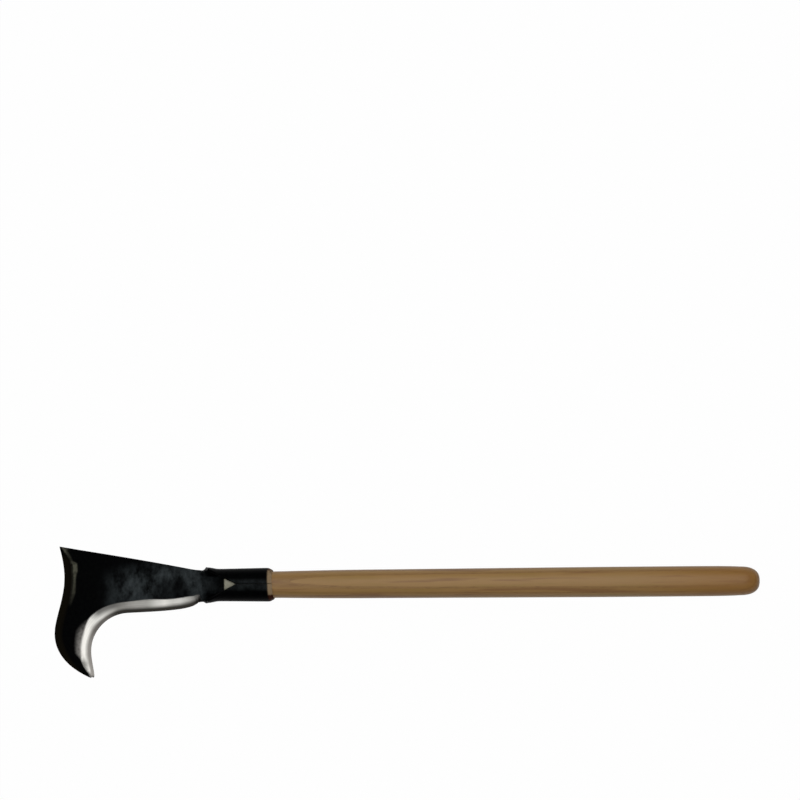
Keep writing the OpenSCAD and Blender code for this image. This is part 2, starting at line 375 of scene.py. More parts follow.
@dataclass
class GroundEdge:
    """One edge of the blade as a chain of curves, with the bevel that is ground along it.

    The bevel is square to the edge, but up to a place in the chain near the heel it turns from square to
    the handle. Each width goes with a length run along the edge, and the widths are blended over a length
    to both sides. The heel's place is counted in curves, and all else is in millimetres.
    """

    spans: tuple[Span, ...]
    runs: tuple[float, ...]
    widths: tuple[float, ...]
    left: bool
    heel: float = 0.0
    blend: float = 5.0
    blend_steps: int = 11
    samples: int = 120
    points: np.ndarray = field(init=False)
    inward: np.ndarray = field(init=False)
    width: np.ndarray = field(init=False)
    run: np.ndarray = field(init=False)

    def __post_init__(self) -> None:
        """Sample the chain: its points, the way in from each, the bevel's width and the length run."""
        t = np.linspace(0, 1, self.samples)
        self.points = np.concatenate([span.at(t) for span in self.spans])
        place = np.concatenate([t + i for i in range(len(self.spans))])
        steps = np.linalg.norm(np.diff(self.points, axis=0), axis=1)
        self.run = np.concatenate([[0.0], np.cumsum(steps)])
        shifts = np.linspace(-self.blend, self.blend, self.blend_steps)
        shifted = [np.interp(self.run + shift, self.runs, self.widths) for shift in shifts]
        self.width = np.mean(shifted, axis=0)
        heading = np.gradient(self.points, axis=0)
        heading /= np.linalg.norm(heading, axis=1)[:, None]
        square = np.stack([-heading[:, 1], heading[:, 0]], axis=1) * (1 if self.left else -1)
        if self.heel:
            turned = fade(place, 0.0, self.heel)[:, None]
            square = np.array((0.0, 1.0)) * (1 - turned) + square * turned
        self.inward = square / np.linalg.norm(square, axis=1)[:, None]

    def measure(self, spots: np.ndarray) -> tuple[np.ndarray, np.ndarray, np.ndarray]:
        """Measure spots from the edge.

        Args:
            spots: X and Y of each spot.

        Returns:
            Depth in from the edge, the bevel's width there and the length run along the edge.
        """
        middles = self.points + self.inward * self.width[:, None] / 2
        tree = KDTree(len(middles))
        for i, (x, y) in enumerate(middles):
            tree.insert((x, y, 0.0), i)
        tree.balance()
        nearest = np.array([tree.find((x, y, 0.0))[1] for x, y in spots])
        depth = np.sum((spots - self.points[nearest]) * self.inward[nearest], axis=1)
        return depth, self.width[nearest], self.run[nearest]


@dataclass(frozen=True)
class BlackenedSteel:
    """Carbon steel forged, quenched in oil and ground along its edge.

    The scale is nearly black with blue-grey patches, partly thinner scale and partly painted sheen, and
    a painted highlight runs along the socket's seam. The ground bevel is bare steel with lines along the
    edge; its brightness is partly the polish and partly painted reflection: dim at the heel and in the
    throat and bright in the hook. Painted shade darkens it towards the ridge in the throat and at the tip,
    and it darkens into the honed strip at the very edge, whose dark is a painted reflection. Beside it in
    the hook lies a half-ground strip, painted grey as its dim reflection. The bevel of the back is a paler
    brown, with a painted highlight along its ridge. The socket's rim is filed bare and darkens towards its
    corners, partly rust and partly painted shade. Sizes are in millimetres.
    """

    scale_black: str = "#020203"
    scale_dark: str = "#050606"
    # Blue-grey of thinner scale, also painted sheen on the blade and a painted highlight along the seam
    pale_scale_sheen_tint: str = "#404648"
    # Dim grey: the heel's dim reflection, and the painted shade of the rounded grind towards the ridge
    dim_grind_shade: str = "#5f5e5b"
    # Greys of the ground bevel along the edge, partly polish and partly painted reflection
    ground_plain: str = "#a6a5a0"
    ground_bright_reflection: str = "#cecdc8"
    ground_dim_reflection: str = "#a5a39e"
    throat_dim_reflection: str = "#8b8984"
    hook_white_reflection: str = "#e4e2dc"
    # Grey of the half-ground strip, painted as its dim reflection
    half_ground_dim_reflection: str = "#989590"
    # Greys of the honed strip, painted as the dark reflection of its micro-bevel
    honed_dark_reflection: str = "#302e2b"
    honed_grey_reflection: str = "#5f5c58"
    honed_soft_reflection: str = "#7a7773"
    # Painted highlight along the back bevel's ridge
    ridge_highlight_tint: str = "#5a594d"
    # Paler brown over the back bevel
    back_brown: str = "#120f09"
    rim_bare: str = "#8c785e"
    # The rust colour also stands in for painted shade at the rim's corners
    rust: str = "#35170a"
    mottle_mm: float = 3.5
    patch_mm: Triple = (11.0, 18.0, 11.0)
    line_mm: Triple = (45.0, 1.0, 1.0)
    pit_mm: float = 1.4
    rim_mm: Pair = (6.2, 3.8)
    hone_full: float = 2.7
    edge_length: float = 180.0

    def material(self, measures: Sequence[str]) -> bpy.types.Material:
        """Build the material.

        Args:
            measures: names of the head's measures, which its mesh keeps as attributes.

        Returns:
            The material, which follows the measures.
        """
        material, shader = new_material("Oil_blackened_forged_steel", {"Specular IOR Level": 0.012})
        tree = material.node_tree
        place = add_node(tree, "TexCoord").outputs["Object"]
        measure = {
            name: add_node(tree, "Attribute", {"attribute_name": name}).outputs["Fac"]
            for name in measures
        }

        # Patterns: fine mottling, patches higher than wide, long lines along the edge, and mottled rust with
        # painted shade
        mottle = add_node(
            tree, "TexNoise", {"Scale": per_mm(self.mottle_mm), "Detail": 4.0}, {"Vector": place}
        ).outputs["Fac"]
        patch_place = add_node(
            tree, "Mapping", {"Scale": [per_mm(size) for size in self.patch_mm]}, {"Vector": place}
        ).outputs["Vector"]
        patch = add_node(
            tree, "TexNoise", {"Scale": 1.0, "Detail": 8.0, "Roughness": 0.68}, {"Vector": patch_place}
        ).outputs["Fac"]
        line_place = add_node(
            tree, "CombineXYZ", links={"X": measure["edge_run"], "Y": measure["edge_mm"]}
        ).outputs["Vector"]
        line_stretch = add_node(
            tree, "Mapping", {"Scale": [1 / size for size in self.line_mm]}, {"Vector": line_place}
        ).outputs["Vector"]
        lines = add_node(
            tree, "TexNoise", {"Scale": 1.0, "Detail": 5.0, "Roughness": 0.65}, {"Vector": line_stretch}
        ).outputs["Fac"]
        rust_and_shade_noise = add_node(
            tree, "Math", {"operation": "MULTIPLY_ADD", 1: 0.5}, {0: mottle, 2: measure["corner"]}
        ).outputs[0]

        # Masks: what each one follows, where it starts and is full, and its least and most
        patchy, outer_half, mottled_share, rim, rust_and_shade = [
            add_node(
                tree,
                "MapRange",
                {
                    "interpolation_type": "SMOOTHSTEP",
                    "From Min": start,
                    "From Max": full,
                    "To Min": least,
                    "To Max": most,
                },
                {"Value": follows},
            ).outputs["Result"]
            for follows, (start, full), (least, most) in (
                (patch, (0.3, 0.76), (0.0, 1.0)),
                (measure["bevel"], (0.42, 0.85), (0.0, 0.9)),
                (mottle, (0.3, 0.6), (0.6, 1.0)),
                (measure["mouth_mm"], self.rim_mm, (0.0, 1.0)),
                (rust_and_shade_noise, (0.86, 1.1), (0.0, 1.0)),
            )
        ]
        thin, soft_side_shade, strip, scuff = [
            add_node(tree, "Math", {"operation": "MULTIPLY"}, {0: mask, 1: measure[name]}).outputs[0]
            for mask, name in ((patchy, "thin"), (outer_half, "run_out"), (mottled_share, "strip"), (mottled_share, "scuff"))
        ]

        # Black scale, grey where it is thinner and where sheen is painted, and a half-ground strip beside
        # the bevel in the hook, painted grey as its dim reflection
        scale = add_node(
            tree, "ValToRGB", {"stops": [(0.35, self.scale_black), (0.7, self.scale_dark)]}, {"Fac": mottle}
        ).outputs["Color"]
        for tint, amount in ((self.pale_scale_sheen_tint, thin), (self.half_ground_dim_reflection, strip)):
            scale = add_node(
                tree, "Mix", {"data_type": "RGBA", 7: linear(tint)}, {0: amount, 6: scale}
            ).outputs[2]

        # Ground steel: the brightness along the edge, partly the polish and partly painted reflection, with
        # its lines
        along = add_node(
            tree, "Math", {"operation": "DIVIDE", 1: self.edge_length}, {0: measure["edge_run"]}
        ).outputs[0]
        polish_and_reflection_stops = (
            (0.0, self.dim_grind_shade),
            (0.06, self.ground_plain),
            (0.12, self.ground_bright_reflection),
            (0.17, self.ground_bright_reflection),
            (0.22, self.hook_white_reflection),
            (0.27, self.ground_bright_reflection),
            (0.33, self.ground_plain),
            (0.4, self.ground_dim_reflection),
            (0.51, self.throat_dim_reflection),
            (0.61, self.ground_bright_reflection),
            (0.7, self.hook_white_reflection),
            (0.83, self.hook_white_reflection),
            (0.9, self.ground_plain),
            (0.945, self.hook_white_reflection),
            (0.97, self.half_ground_dim_reflection),
        )
        polish_and_reflection = add_node(tree, "ValToRGB", {"stops": polish_and_reflection_stops}, {"Fac": along}).outputs["Color"]
        line_shade = add_node(
            tree,
            "MapRange",
            {"From Min": 0.25, "From Max": 0.6, "To Min": 0.72, "To Max": 1.0},
            {"Value": lines},
        ).outputs["Result"]
        lined = add_node(
            tree, "VectorMath", {"operation": "SCALE"}, {0: polish_and_reflection, "Scale": line_shade}
        ).outputs[0]

        # In the throat and at the tip the bevel darkens towards the ridge: painted shade of the rounded
        # grind
        shaded = add_node(
            tree, "Mix", {"data_type": "RGBA", 7: linear(self.dim_grind_shade)}, {0: soft_side_shade, 6: lined}
        ).outputs[2]

        # Honed strip at the edge, painted as a dark reflection on the straight and paler in the hook
        honed_dark_share = add_node(
            tree,
            "MapRange",
            {"interpolation_type": "SMOOTHSTEP", "From Max": self.hone_full},
            {"Value": measure["edge_mm"], "From Min": measure["hone_reach"]},
        ).outputs["Result"]
        honed_reflection_stops = (
            (0.52, self.honed_dark_reflection),
            (0.6, self.honed_grey_reflection),
            (0.7, self.honed_grey_reflection),
            (0.77, self.honed_soft_reflection),
        )
        honed_dark_reflection = add_node(tree, "ValToRGB", {"stops": honed_reflection_stops}, {"Fac": along}).outputs["Color"]
        ground = add_node(tree, "Mix", {"data_type": "RGBA"}, {0: honed_dark_share, 6: shaded, 7: honed_dark_reflection}).outputs[2]

        # Where the scale ends and the grinding starts
        wander = add_node(
            tree, "Math", {"operation": "MULTIPLY_ADD", 1: 0.08, 2: -0.04}, {0: patch}
        ).outputs[0]
        reach = add_node(tree, "Math", {"operation": "ADD"}, {0: measure["bevel"], 1: wander}).outputs[0]
        fade_start = add_node(
            tree, "MapRange", {"To Min": 0.94, "To Max": 0.74}, {"Value": measure["strip"]}
        ).outputs["Result"]
        is_ground = add_node(
            tree,
            "MapRange",
            {"interpolation_type": "SMOOTHSTEP", "From Min": 1.06},
            {"Value": reach, "From Max": fade_start},
        ).outputs["Result"]
        colour = add_node(tree, "Mix", {"data_type": "RGBA"}, {0: is_ground, 6: scale, 7: ground}).outputs[2]

        # Back bevel: a paler brown on it, and a painted highlight along its ridge, wide below the corner
        for tint, amount in ((self.back_brown, measure["back_bevel"]), (self.ridge_highlight_tint, scuff)):
            colour = add_node(
                tree, "Mix", {"data_type": "RGBA", 7: linear(tint)}, {0: amount, 6: colour}
            ).outputs[2]

        # Rim of the socket's mouth, bare, and darker towards its corners with rust and painted shade
        bare = add_node(
            tree, "Mix", {"data_type": "RGBA", 6: linear(self.rim_bare), 7: linear(self.rust)}, {0: rust_and_shade}
        ).outputs[2]
        finished = add_node(tree, "Mix", {"data_type": "RGBA"}, {0: rim, 6: colour, 7: bare}).outputs[2]

        # Gloss: oiled scale shines a little, it is rougher where the scale is thinner and where sheen is
        # painted, and ground steel is a metal
        dull = add_node(
            tree, "MapRange", {"To Min": 0.36, "To Max": 0.55}, {"Value": thin}
        ).outputs["Result"]
        keen = add_node(
            tree, "MapRange", {"To Min": 0.42, "To Max": 0.24}, {"Value": lines}
        ).outputs["Result"]
        roughness = add_node(
            tree, "Mix", {"data_type": "FLOAT"}, {0: is_ground, 2: dull, 3: keen}
        ).outputs[0]

        # Relief: pits in the scale, and the grinding lines
        pits = add_node(
            tree,
            "TexNoise",
            {"Scale": per_mm(self.pit_mm), "Detail": 3.0, "Roughness": 0.6},
            {"Vector": place},
        ).outputs["Fac"]
        relief = add_node(tree, "Mix", {"data_type": "FLOAT"}, {0: is_ground, 2: pits, 3: lines}).outputs[0]
        bump = add_node(
            tree, "Bump", {"Strength": 0.3, "Distance": 0.1 * MM}, {"Height": relief}
        ).outputs["Normal"]
        feed(shader, {"Base Color": finished, "Metallic": is_ground, "Roughness": roughness, "Normal": bump})
        return material


@dataclass(frozen=True)
class TurnedAsh:
    """Ash turned along the grain, sanded and waxed.

    Growth rings run the length of the handle as soft bands, with open pores in their early wood, yellow and
    reddish streaks, and a browner butt. In the socket it is darkened, partly stained by the oiled steel
    and partly painted shade in the seam, and where the V is open it is bare and greyer, with painted
    light. The pith lies beside the axis and under it, and leans by some degrees. A stretch is where a tint
    starts and where it is full, from the butt or the mouth, in millimetres.
    """

    late_wood: str = "#9c7948"
    early_wood: str = "#7c5b36"
    yellow: str = "#90733b"
    reddish: str = "#785234"
    pore: str = "#533c23"
    butt_brown: str = "#8f6127"
    # Dark in the socket: stain from the oiled steel, with painted shade in the seam
    stain_and_shade: str = "#171310"
    # Paler and greyer in the V: bare wood, with painted light
    bare: str = "#908e7c"
    ring_mm: float = 3.4
    streak_mm: Triple = (110.0, 6.0, 6.0)
    pore_mm: Triple = (9.0, 0.5, 0.5)
    pith_offset: Pair = (9.0, 38.0)
    pith_lean: Pair = (0.9, 0.7)
    along_grain: float = 0.05
    butt_stretch: Pair = (-170.0, -20.0)
    socket_stretch: Pair = (1.0, -4.0)
    vee_stretch: Pair = (-37.0, -39.5)

    def material(self, mouth: Vector, butt_x: float) -> bpy.types.Material:
        """Build the material.

        Args:
            mouth: centre of the socket's mouth, on the handle's axis, in metres.
            butt_x: X of the butt's end, in metres.

        Returns:
            The material, solid through the handle so that its end grain is right too.
        """
        material, shader = new_material("Turned_waxed_ash", {"Specular IOR Level": 0.35})
        tree = material.node_tree
        place = add_node(tree, "TexCoord").outputs["Object"]
        along = add_node(tree, "SeparateXYZ", links={"Vector": place}).outputs["X"]

        # Growth rings about the pith, which waver slowly along the grain
        pith_side, pith_depth = self.pith_offset
        about_pith = add_node(
            tree,
            "Mapping",
            {
                "Location": (0.0, pith_side * MM - mouth.y, pith_depth * MM - mouth.z),
                "Rotation": (0.0, *(math.radians(lean) for lean in self.pith_lean)),
                "Scale": (self.along_grain, 1.0, 1.0),
            },
            {"Vector": place},
        ).outputs["Vector"]
        rings = add_node(
            tree,
            "TexWave",
            {
                "wave_type": "RINGS",
                "rings_direction": "X",
                "wave_profile": "SAW",
                "Scale": 2 * math.pi / (WAVE_RADIANS * self.ring_mm * MM),
                "Distortion": 1.6,
                "Detail": 2.0,
                "Detail Scale": 0.6,
            },
            {"Vector": about_pith},
        ).outputs["Fac"]

        # Streaks and pores along the grain, the pores drawn twice as wide as real ones, so that they show
        streak_place, pore_place = [
            add_node(
                tree, "Mapping", {"Scale": [per_mm(size) for size in sizes]}, {"Vector": place}
            ).outputs["Vector"]
            for sizes in (self.streak_mm, self.pore_mm)
        ]
        streak = add_node(
            tree, "TexNoise", {"Scale": 1.0, "Detail": 3.0, "Roughness": 0.55}, {"Vector": streak_place}
        ).outputs["Fac"]
        pore_noise = add_node(
            tree, "TexNoise", {"Scale": 1.0, "Detail": 1.0}, {"Vector": pore_place}
        ).outputs["Fac"]

        # How far each tint comes through: what it follows, where it starts and is full, and its most
        butt = [butt_x + distance * MM for distance in self.butt_stretch]
        socket = [mouth.x + distance * MM for distance in self.socket_stretch]
        vee = [mouth.x + distance * MM for distance in self.vee_stretch]
        is_early, is_yellow, is_red, pore_mark, at_butt, in_socket_shade, in_vee_lit = [
            add_node(
                tree,
                "MapRange",
                {"interpolation_type": "SMOOTHSTEP", "From Min": start, "From Max": full, "To Max": most},
                {"Value": follows},
            ).outputs["Result"]
            for follows, (start, full), most in (
                (rings, (0.45, 0.95), 0.42),
                (streak, (0.5, 0.7), 0.5),
                (streak, (0.48, 0.3), 0.55),
                (pore_noise, (0.56, 0.68), 1.0),
                (along, butt, 0.6),
                (along, socket, 0.92),
                (along, vee, 0.9),
            )
        ]
        pores = add_node(tree, "Math", {"operation": "MULTIPLY"}, {0: pore_mark, 1: is_early}).outputs[0]

        # The tints one over the other, from the late wood to the bare wood in the V; the stain in the socket
        # is partly painted shade, and the paler V partly painted light
        colour = add_node(
            tree,
            "Mix",
            {"data_type": "RGBA", 6: linear(self.late_wood), 7: linear(self.early_wood)},
            {0: is_early},
        ).outputs[2]
        for tint, amount in (
            (self.yellow, is_yellow),
            (self.reddish, is_red),
            (self.pore, pores),
            (self.butt_brown, at_butt),
            (self.stain_and_shade, in_socket_shade),
            (self.bare, in_vee_lit),
        ):
            colour = add_node(
                tree, "Mix", {"data_type": "RGBA", 7: linear(tint)}, {0: amount, 6: colour}
            ).outputs[2]
        roughness = add_node(
            tree, "MapRange", {"To Min": 0.46, "To Max": 0.74}, {"Value": pores}
        ).outputs["Result"]
        grain = add_node(
            tree, "Math", {"operation": "MULTIPLY_ADD", 1: -0.7}, {0: pores, 2: pore_noise}
        ).outputs[0]
        bump = add_node(
            tree, "Bump", {"Strength": 0.3, "Distance": 0.1 * MM}, {"Height": grain}
        ).outputs["Normal"]
        feed(shader, {"Base Color": colour, "Roughness": roughness, "Normal": bump})
        return material


@dataclass(frozen=True)
class DrawnSteel:
    """Drawn wire of a nail: grey bare steel, dulled by handling, with specks of rust."""

    bare: str = "#8b8882"
    dulled: str = "#5f5c57"
    rust: str = "#5a3420"
    speck_mm: float = 1.6

    def material(self) -> bpy.types.Material:
        """Build the material.

        Returns:
            The material.
        """
        material, shader = new_material("Drawn_nail_steel", {"Metallic": 1.0})
        tree = material.node_tree
        place = add_node(tree, "TexCoord").outputs["Object"]
        specks = add_node(
            tree, "TexNoise", {"Scale": per_mm(self.speck_mm), "Detail": 4.0}, {"Vector": place}
        ).outputs["Fac"]
        colour = add_node(
            tree,
            "ValToRGB",
            {"stops": [(0.3, self.rust), (0.42, self.dulled), (0.65, self.bare)]},
            {"Fac": specks},
        ).outputs["Color"]
        roughness = add_node(
            tree, "MapRange", {"To Min": 0.6, "To Max": 0.3}, {"Value": specks}
        ).outputs["Result"]
        bump = add_node(
            tree, "Bump", {"Strength": 0.4, "Distance": 0.08 * MM}, {"Height": specks}
        ).outputs["Normal"]
        feed(shader, {"Base Color": colour, "Roughness": roughness, "Normal": bump})
        return material


@dataclass(frozen=True)
class ThinScaleAndSheen:
    """Where the black scale is paler: thinner scale with painted sheen over the blade's middle, and a
    painted highlight on the neck and socket along the seam.

    A stretch along the ground bevel stays darker, and painted light makes the neck's floor paler than the
    socket. Each pair is where a fade starts and where it is full, in millimetres.
    """

    from_hook: Pair = (-198.0, -154.0)
    from_spine: Pair = (42.0, 18.0)
    spine_slope: float = 0.16
    dark_start: Pair = (6.0, 14.0)
    dark_end: Pair = (58.0, 46.0)
    dark_depth: Pair = (40.0, 28.0)
    dark_share: float = 0.6
    into_neck: Pair = (0.0, 12.0)
    seam_highlight_half: float = 8.0
    seam_highlight_fade: float = 5.0
    seam_highlight_share: float = 0.4
    lit_floor_depth: Pair = (-8.0, -12.0)
    lit_floor_wider: float = 5.0
    lit_floor_more: float = 0.1

    def share(
        self, spots: np.ndarray, past_heel: np.ndarray, edge_mm: np.ndarray, edge_run: np.ndarray
    ) -> np.ndarray:
        """Work out how much thinner scale and painted sheen each spot has.

        Args:
            spots: X, Y and Z of each spot from the mouth's centre, in three rows.
            past_heel: each spot's distance from the blade's heel towards the mouth.
            edge_mm: its depth in from the cutting edge.
            edge_run: the length run along the cutting edge.

        Returns:
            The share of thinner scale and painted sheen at each spot.
        """
        x, y, z = spots
        dark = fade(edge_run, *self.dark_start) * fade(edge_run, *self.dark_end)
        dark *= self.dark_share * fade(edge_mm, *self.dark_depth)
        # Patches on the blade: thinner scale, with painted sheen
        below_spine = fade(y - past_heel * self.spine_slope, *self.from_spine)
        on_blade = fade(x, *self.from_hook) * below_spine * (1 - dark)
        # Painted light makes the neck's floor paler, and the band along the seam is a painted highlight
        floor = fade(z, *self.lit_floor_depth)
        half = self.seam_highlight_half + self.lit_floor_wider * floor
        neck_highlight = fade(np.abs(y), half, half - self.seam_highlight_fade)
        neck_highlight *= self.seam_highlight_share + self.lit_floor_more * floor
        return on_blade + (neck_highlight - on_blade) * fade(past_heel, *self.into_neck)


@dataclass
class ForgedHead:
    """Blade, neck and rolled socket: one forging, refined from a copy of its solid.

    Two triangles make a quad if they are flat and square to within the quad angles. A crease is the least
    angle of the edges that it keeps and how crisp it makes them. The bevel ends over the heel's pair, and
    the back is tinted a paler brown over its pairs, from none to full. The painted highlight along the
    back's ridge fades in and out over two lengths. Sizes are in millimetres, angles in degrees.
    """

    mouth: Vector
    steel: BlackenedSteel
    socket_length: float = 69.5
    seam_length: float = 38.0
    neck_length: float = 10.5
    mouth_radius: float = 19.3
    mouth_skew: float = 1.5
    mouth_lean: float = 4.0
    mouth_chamfer: float = 5.0
    weld_mm: float = 0.002
    quad_angles: Pair = (12.0, 60.0)
    blade_crease: Pair = (4.0, 1.0)
    socket_crease: Pair = (38.0, 0.9)
    smooth_angle: float = 28.0
    heel_end: Pair = (1.0, 5.0)
    off_bevel: float = 2.0
    strip_overlap: float = 0.5
    ridge_highlight_fades: Pair = (1.4, 2.4)
    brown_depth: Pair = (0.0, -4.0)
    brown_run: Pair = (4.0, 14.0)
    low_corner_rust_shade: float = 1.3
    high_corner_rust_shade: float = 0.86
    thin_scale_and_sheen: ThinScaleAndSheen = ThinScaleAndSheen()
    cutting_edge: GroundEdge = field(
        default_factory=lambda: GroundEdge(
            spans=(
                Span((-80.0, -19.4), 224.0, 0.12, (-160.0, -30.7), 182.0, 0.74),
                Span((-160.0, -30.7), 182.0, 0.38, (-202.4, -74.0), -90.0, 0.39),
                Span((-202.4, -74.0), -90.0, 0.31, (-199.0, -100.5), -83.5, 0.32),
            ),
            runs=(0.0, 6.0, 11.0, 40.0, 60.0, 86.0, 119.0, 130.0, 155.0, 165.0, 175.5),
            widths=(8.0, 11.2, 12.2, 12.7, 14.3, 12.2, 16.0, 13.4, 12.9, 10.4, 5.0),
            left=False,
            heel=0.5,
        )
    )
    back_edge: GroundEdge = field(
        default_factory=lambda: GroundEdge(
            spans=(
                Span((-237.5, 45.0), -75.0, 0.33, (-232.1, 10.0), -90.0, 0.34),
                Span((-232.1, 10.0), -90.0, 0.39, (-243.8, -54.0), -90.0, 0.28),
                Span((-243.8, -54.0), -90.0, 0.3, (-205.0, -103.5), -25.0, 0.48),
            ),
            runs=(0.0, 17.6, 124.0, 167.0),
            widths=(0.6, 10.0, 10.0, 1.5),
            left=True,
        )
    )

    def build(self) -> bpy.types.Object:
        """Copy the solid, round it, measure it and dress it.

        Returns:
            The finished head.
        """
        piece = self.copy_solid()
        self.refine(piece)
        measures = self.measure(piece)
        shade_smooth(piece, self.smooth_angle)
        dress(piece, self.steel.material(measures), "forged_head")
        return piece

    def copy_solid(self) -> bpy.types.Object:
        """Copy the head's solid into a piece of merged quads.

        Returns:
            The piece.
        """
        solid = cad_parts["forged_head"]
        piece = bpy.data.objects.new("Forged_head", solid.data.copy())
        piece.data.name = piece.name
        bpy.context.scene.collection.objects.link(piece)
        make_active(piece)
        bpy.ops.object.mode_set(mode="EDIT")
        bpy.ops.mesh.select_all(action="SELECT")
        bpy.ops.mesh.remove_doubles(threshold=self.weld_mm * MM)
        flat, square = (math.radians(angle) for angle in self.quad_angles)
        bpy.ops.mesh.tris_convert_to_quads(face_threshold=flat, shape_threshold=square)
        bpy.ops.object.mode_set(mode="OBJECT")
        return piece

    def refine(self, piece: bpy.types.Object) -> None:
        """Crease what is crisp on the forging and round the rest by subdivision.

        Args:
            piece: the head.
        """
        neck_x = self.mouth.x - (self.socket_length + self.neck_length) * MM
        crisp = crease_edges(piece, *self.blade_crease, (-FAR, neck_x))
        crisp += crease_edges(piece, *self.socket_crease, (neck_x, FAR))
        LOG.info("%s: %d crisp edges", piece.name, crisp)
        apply_modifier(piece, "SUBSURF", {"levels": 2, "render_levels": 2})

    def measure(self, piece: bpy.types.Object) -> list[str]:
        """Keep what the steel's finish follows as attributes of the mesh.

        Args:
            piece: the head.

        Returns:
            The names of the measures.
        """
        mesh = piece.data
        spots = np.empty(len(mesh.vertices) * 3)
        mesh.vertices.foreach_get("co", spots)
        spots = ((spots.reshape(-1, 3) - np.array(self.mouth)) / MM).T
        x, y, z = spots
        edge_mm, edge_width, edge_run = self.cutting_edge.measure(spots[:2].T)
        back_mm, back_width, back_run = self.back_edge.measure(spots[:2].T)
        past_heel = x + self.socket_length + self.neck_length
        past_ridge = edge_mm - edge_width
        past_back = back_mm - back_width

        # The bevel ends at the heel, and the half-ground strip fades out past the bevel's ridge
        bevel = edge_mm / edge_width + self.off_bevel * fade(past_heel, *self.heel_end)
        strip_reach = np.interp(edge_run, *STRIP_REACH)
        strip = np.interp(edge_run, *STRIP_DEPTH) * fade(past_ridge, strip_reach, -self.strip_overlap)

        # A painted highlight over the ridge of the back bevel, which is tinted a paler brown
        highlight_in, highlight_out = self.ridge_highlight_fades
        highlight_start = np.interp(back_run, *RIDGE_HIGHLIGHT_START)
        highlight_reach = np.interp(back_run, *RIDGE_HIGHLIGHT_REACH)
        scuff = np.interp(back_run, *RIDGE_HIGHLIGHT_DEPTH)
        scuff *= fade(past_back, highlight_start, highlight_start + highlight_in)
        scuff *= fade(past_back, highlight_reach, highlight_reach - highlight_out)
        back_tinted = fade(past_back, *self.brown_depth) * fade(back_run, *self.brown_run)

        # The mouth is cut out of square, and its rim darkens towards the corners with rust and painted shade
        near = fade(x, -self.seam_length, 0.0) / (2 * self.mouth_radius)
        cut_back = near * (self.mouth_skew * y + self.mouth_lean * z)
        # Darker towards both corners of the rim, most at the low one: rust with painted shade
        corner = np.maximum(-self.low_corner_rust_shade * y, self.high_corner_rust_shade * y) / self.mouth_radius
        measures = {
            "bevel": bevel,
            "edge_mm": edge_mm,
            "edge_run": edge_run,
            "hone_reach": np.interp(edge_run, *HONE_REACH),
            "run_out": np.interp(edge_run, *RUN_OUT_SHADE),
            "strip": strip,
            "scuff": scuff,
            "back_bevel": back_tinted,
            "thin": self.thin_scale_and_sheen.share(spots, past_heel, edge_mm, edge_run),
            "mouth_mm": self.mouth_chamfer - x - cut_back,
            "corner": corner,
        }
        for name, values in measures.items():
            layer = mesh.attributes.new(name, "FLOAT", "POINT")
            layer.data.foreach_set("value", values.astype(np.float32))
        return list(measures)


@dataclass
class SocketNail:
    """Countersunk nail through the socket's back wall into the tenon.

    Its pilot hole follows the stations from the first in the wood. The number of the bit's sides keeps its
    corners off the handle's lowest line. Sizes are in millimetres.
    """

    centre: Vector
    steel: DrawnSteel
    stations: tuple[Pair, ...] = (
        (0.12, 1.2),
        (0.0, 2.6),
        (0.0, 3.4),
        (0.1, 3.6),
        (2.0, 1.8),
        (11.0, 1.8),
        (20.76, 1.8),
        (22.6, 0.9),
        (24.0, 0.1),
    )
    first_in_wood: int = 4
    pilot_clearance: float = 0.05
    pilot_sides: int = 42
    sides: int = 40

    def build(self) -> bpy.types.Object:
        """Turn the nail, round it and dress it.

        Returns:
            The finished nail.
        """
        piece = turn_on_lathe("Socket_nail", Axis.UP, self.centre, self.stations, self.sides)
        round_turned(piece, FAR)
        shade_smooth(piece, TURNED_SMOOTH)
        dress(piece, self.steel.material(), "socket_nail")
        return piece

    def drill(self, wood: bpy.types.Object) -> None:
        """Drill the hole for the shank and the point, with a small gap all round.

        Args:
            wood: the piece that is drilled.
        """
        gap = self.pilot_clearance
        hole = [(place + gap, radius + gap) for place, radius in self.stations[self.first_in_wood :]]
        bit = turn_on_lathe("Pilot_bit", Axis.UP, self.centre, hole, self.pilot_sides)
        apply_modifier(wood, "BOOLEAN", {"operation": "DIFFERENCE", "solver": "EXACT", "object": bit})
        bpy.data.meshes.remove(bit.data)


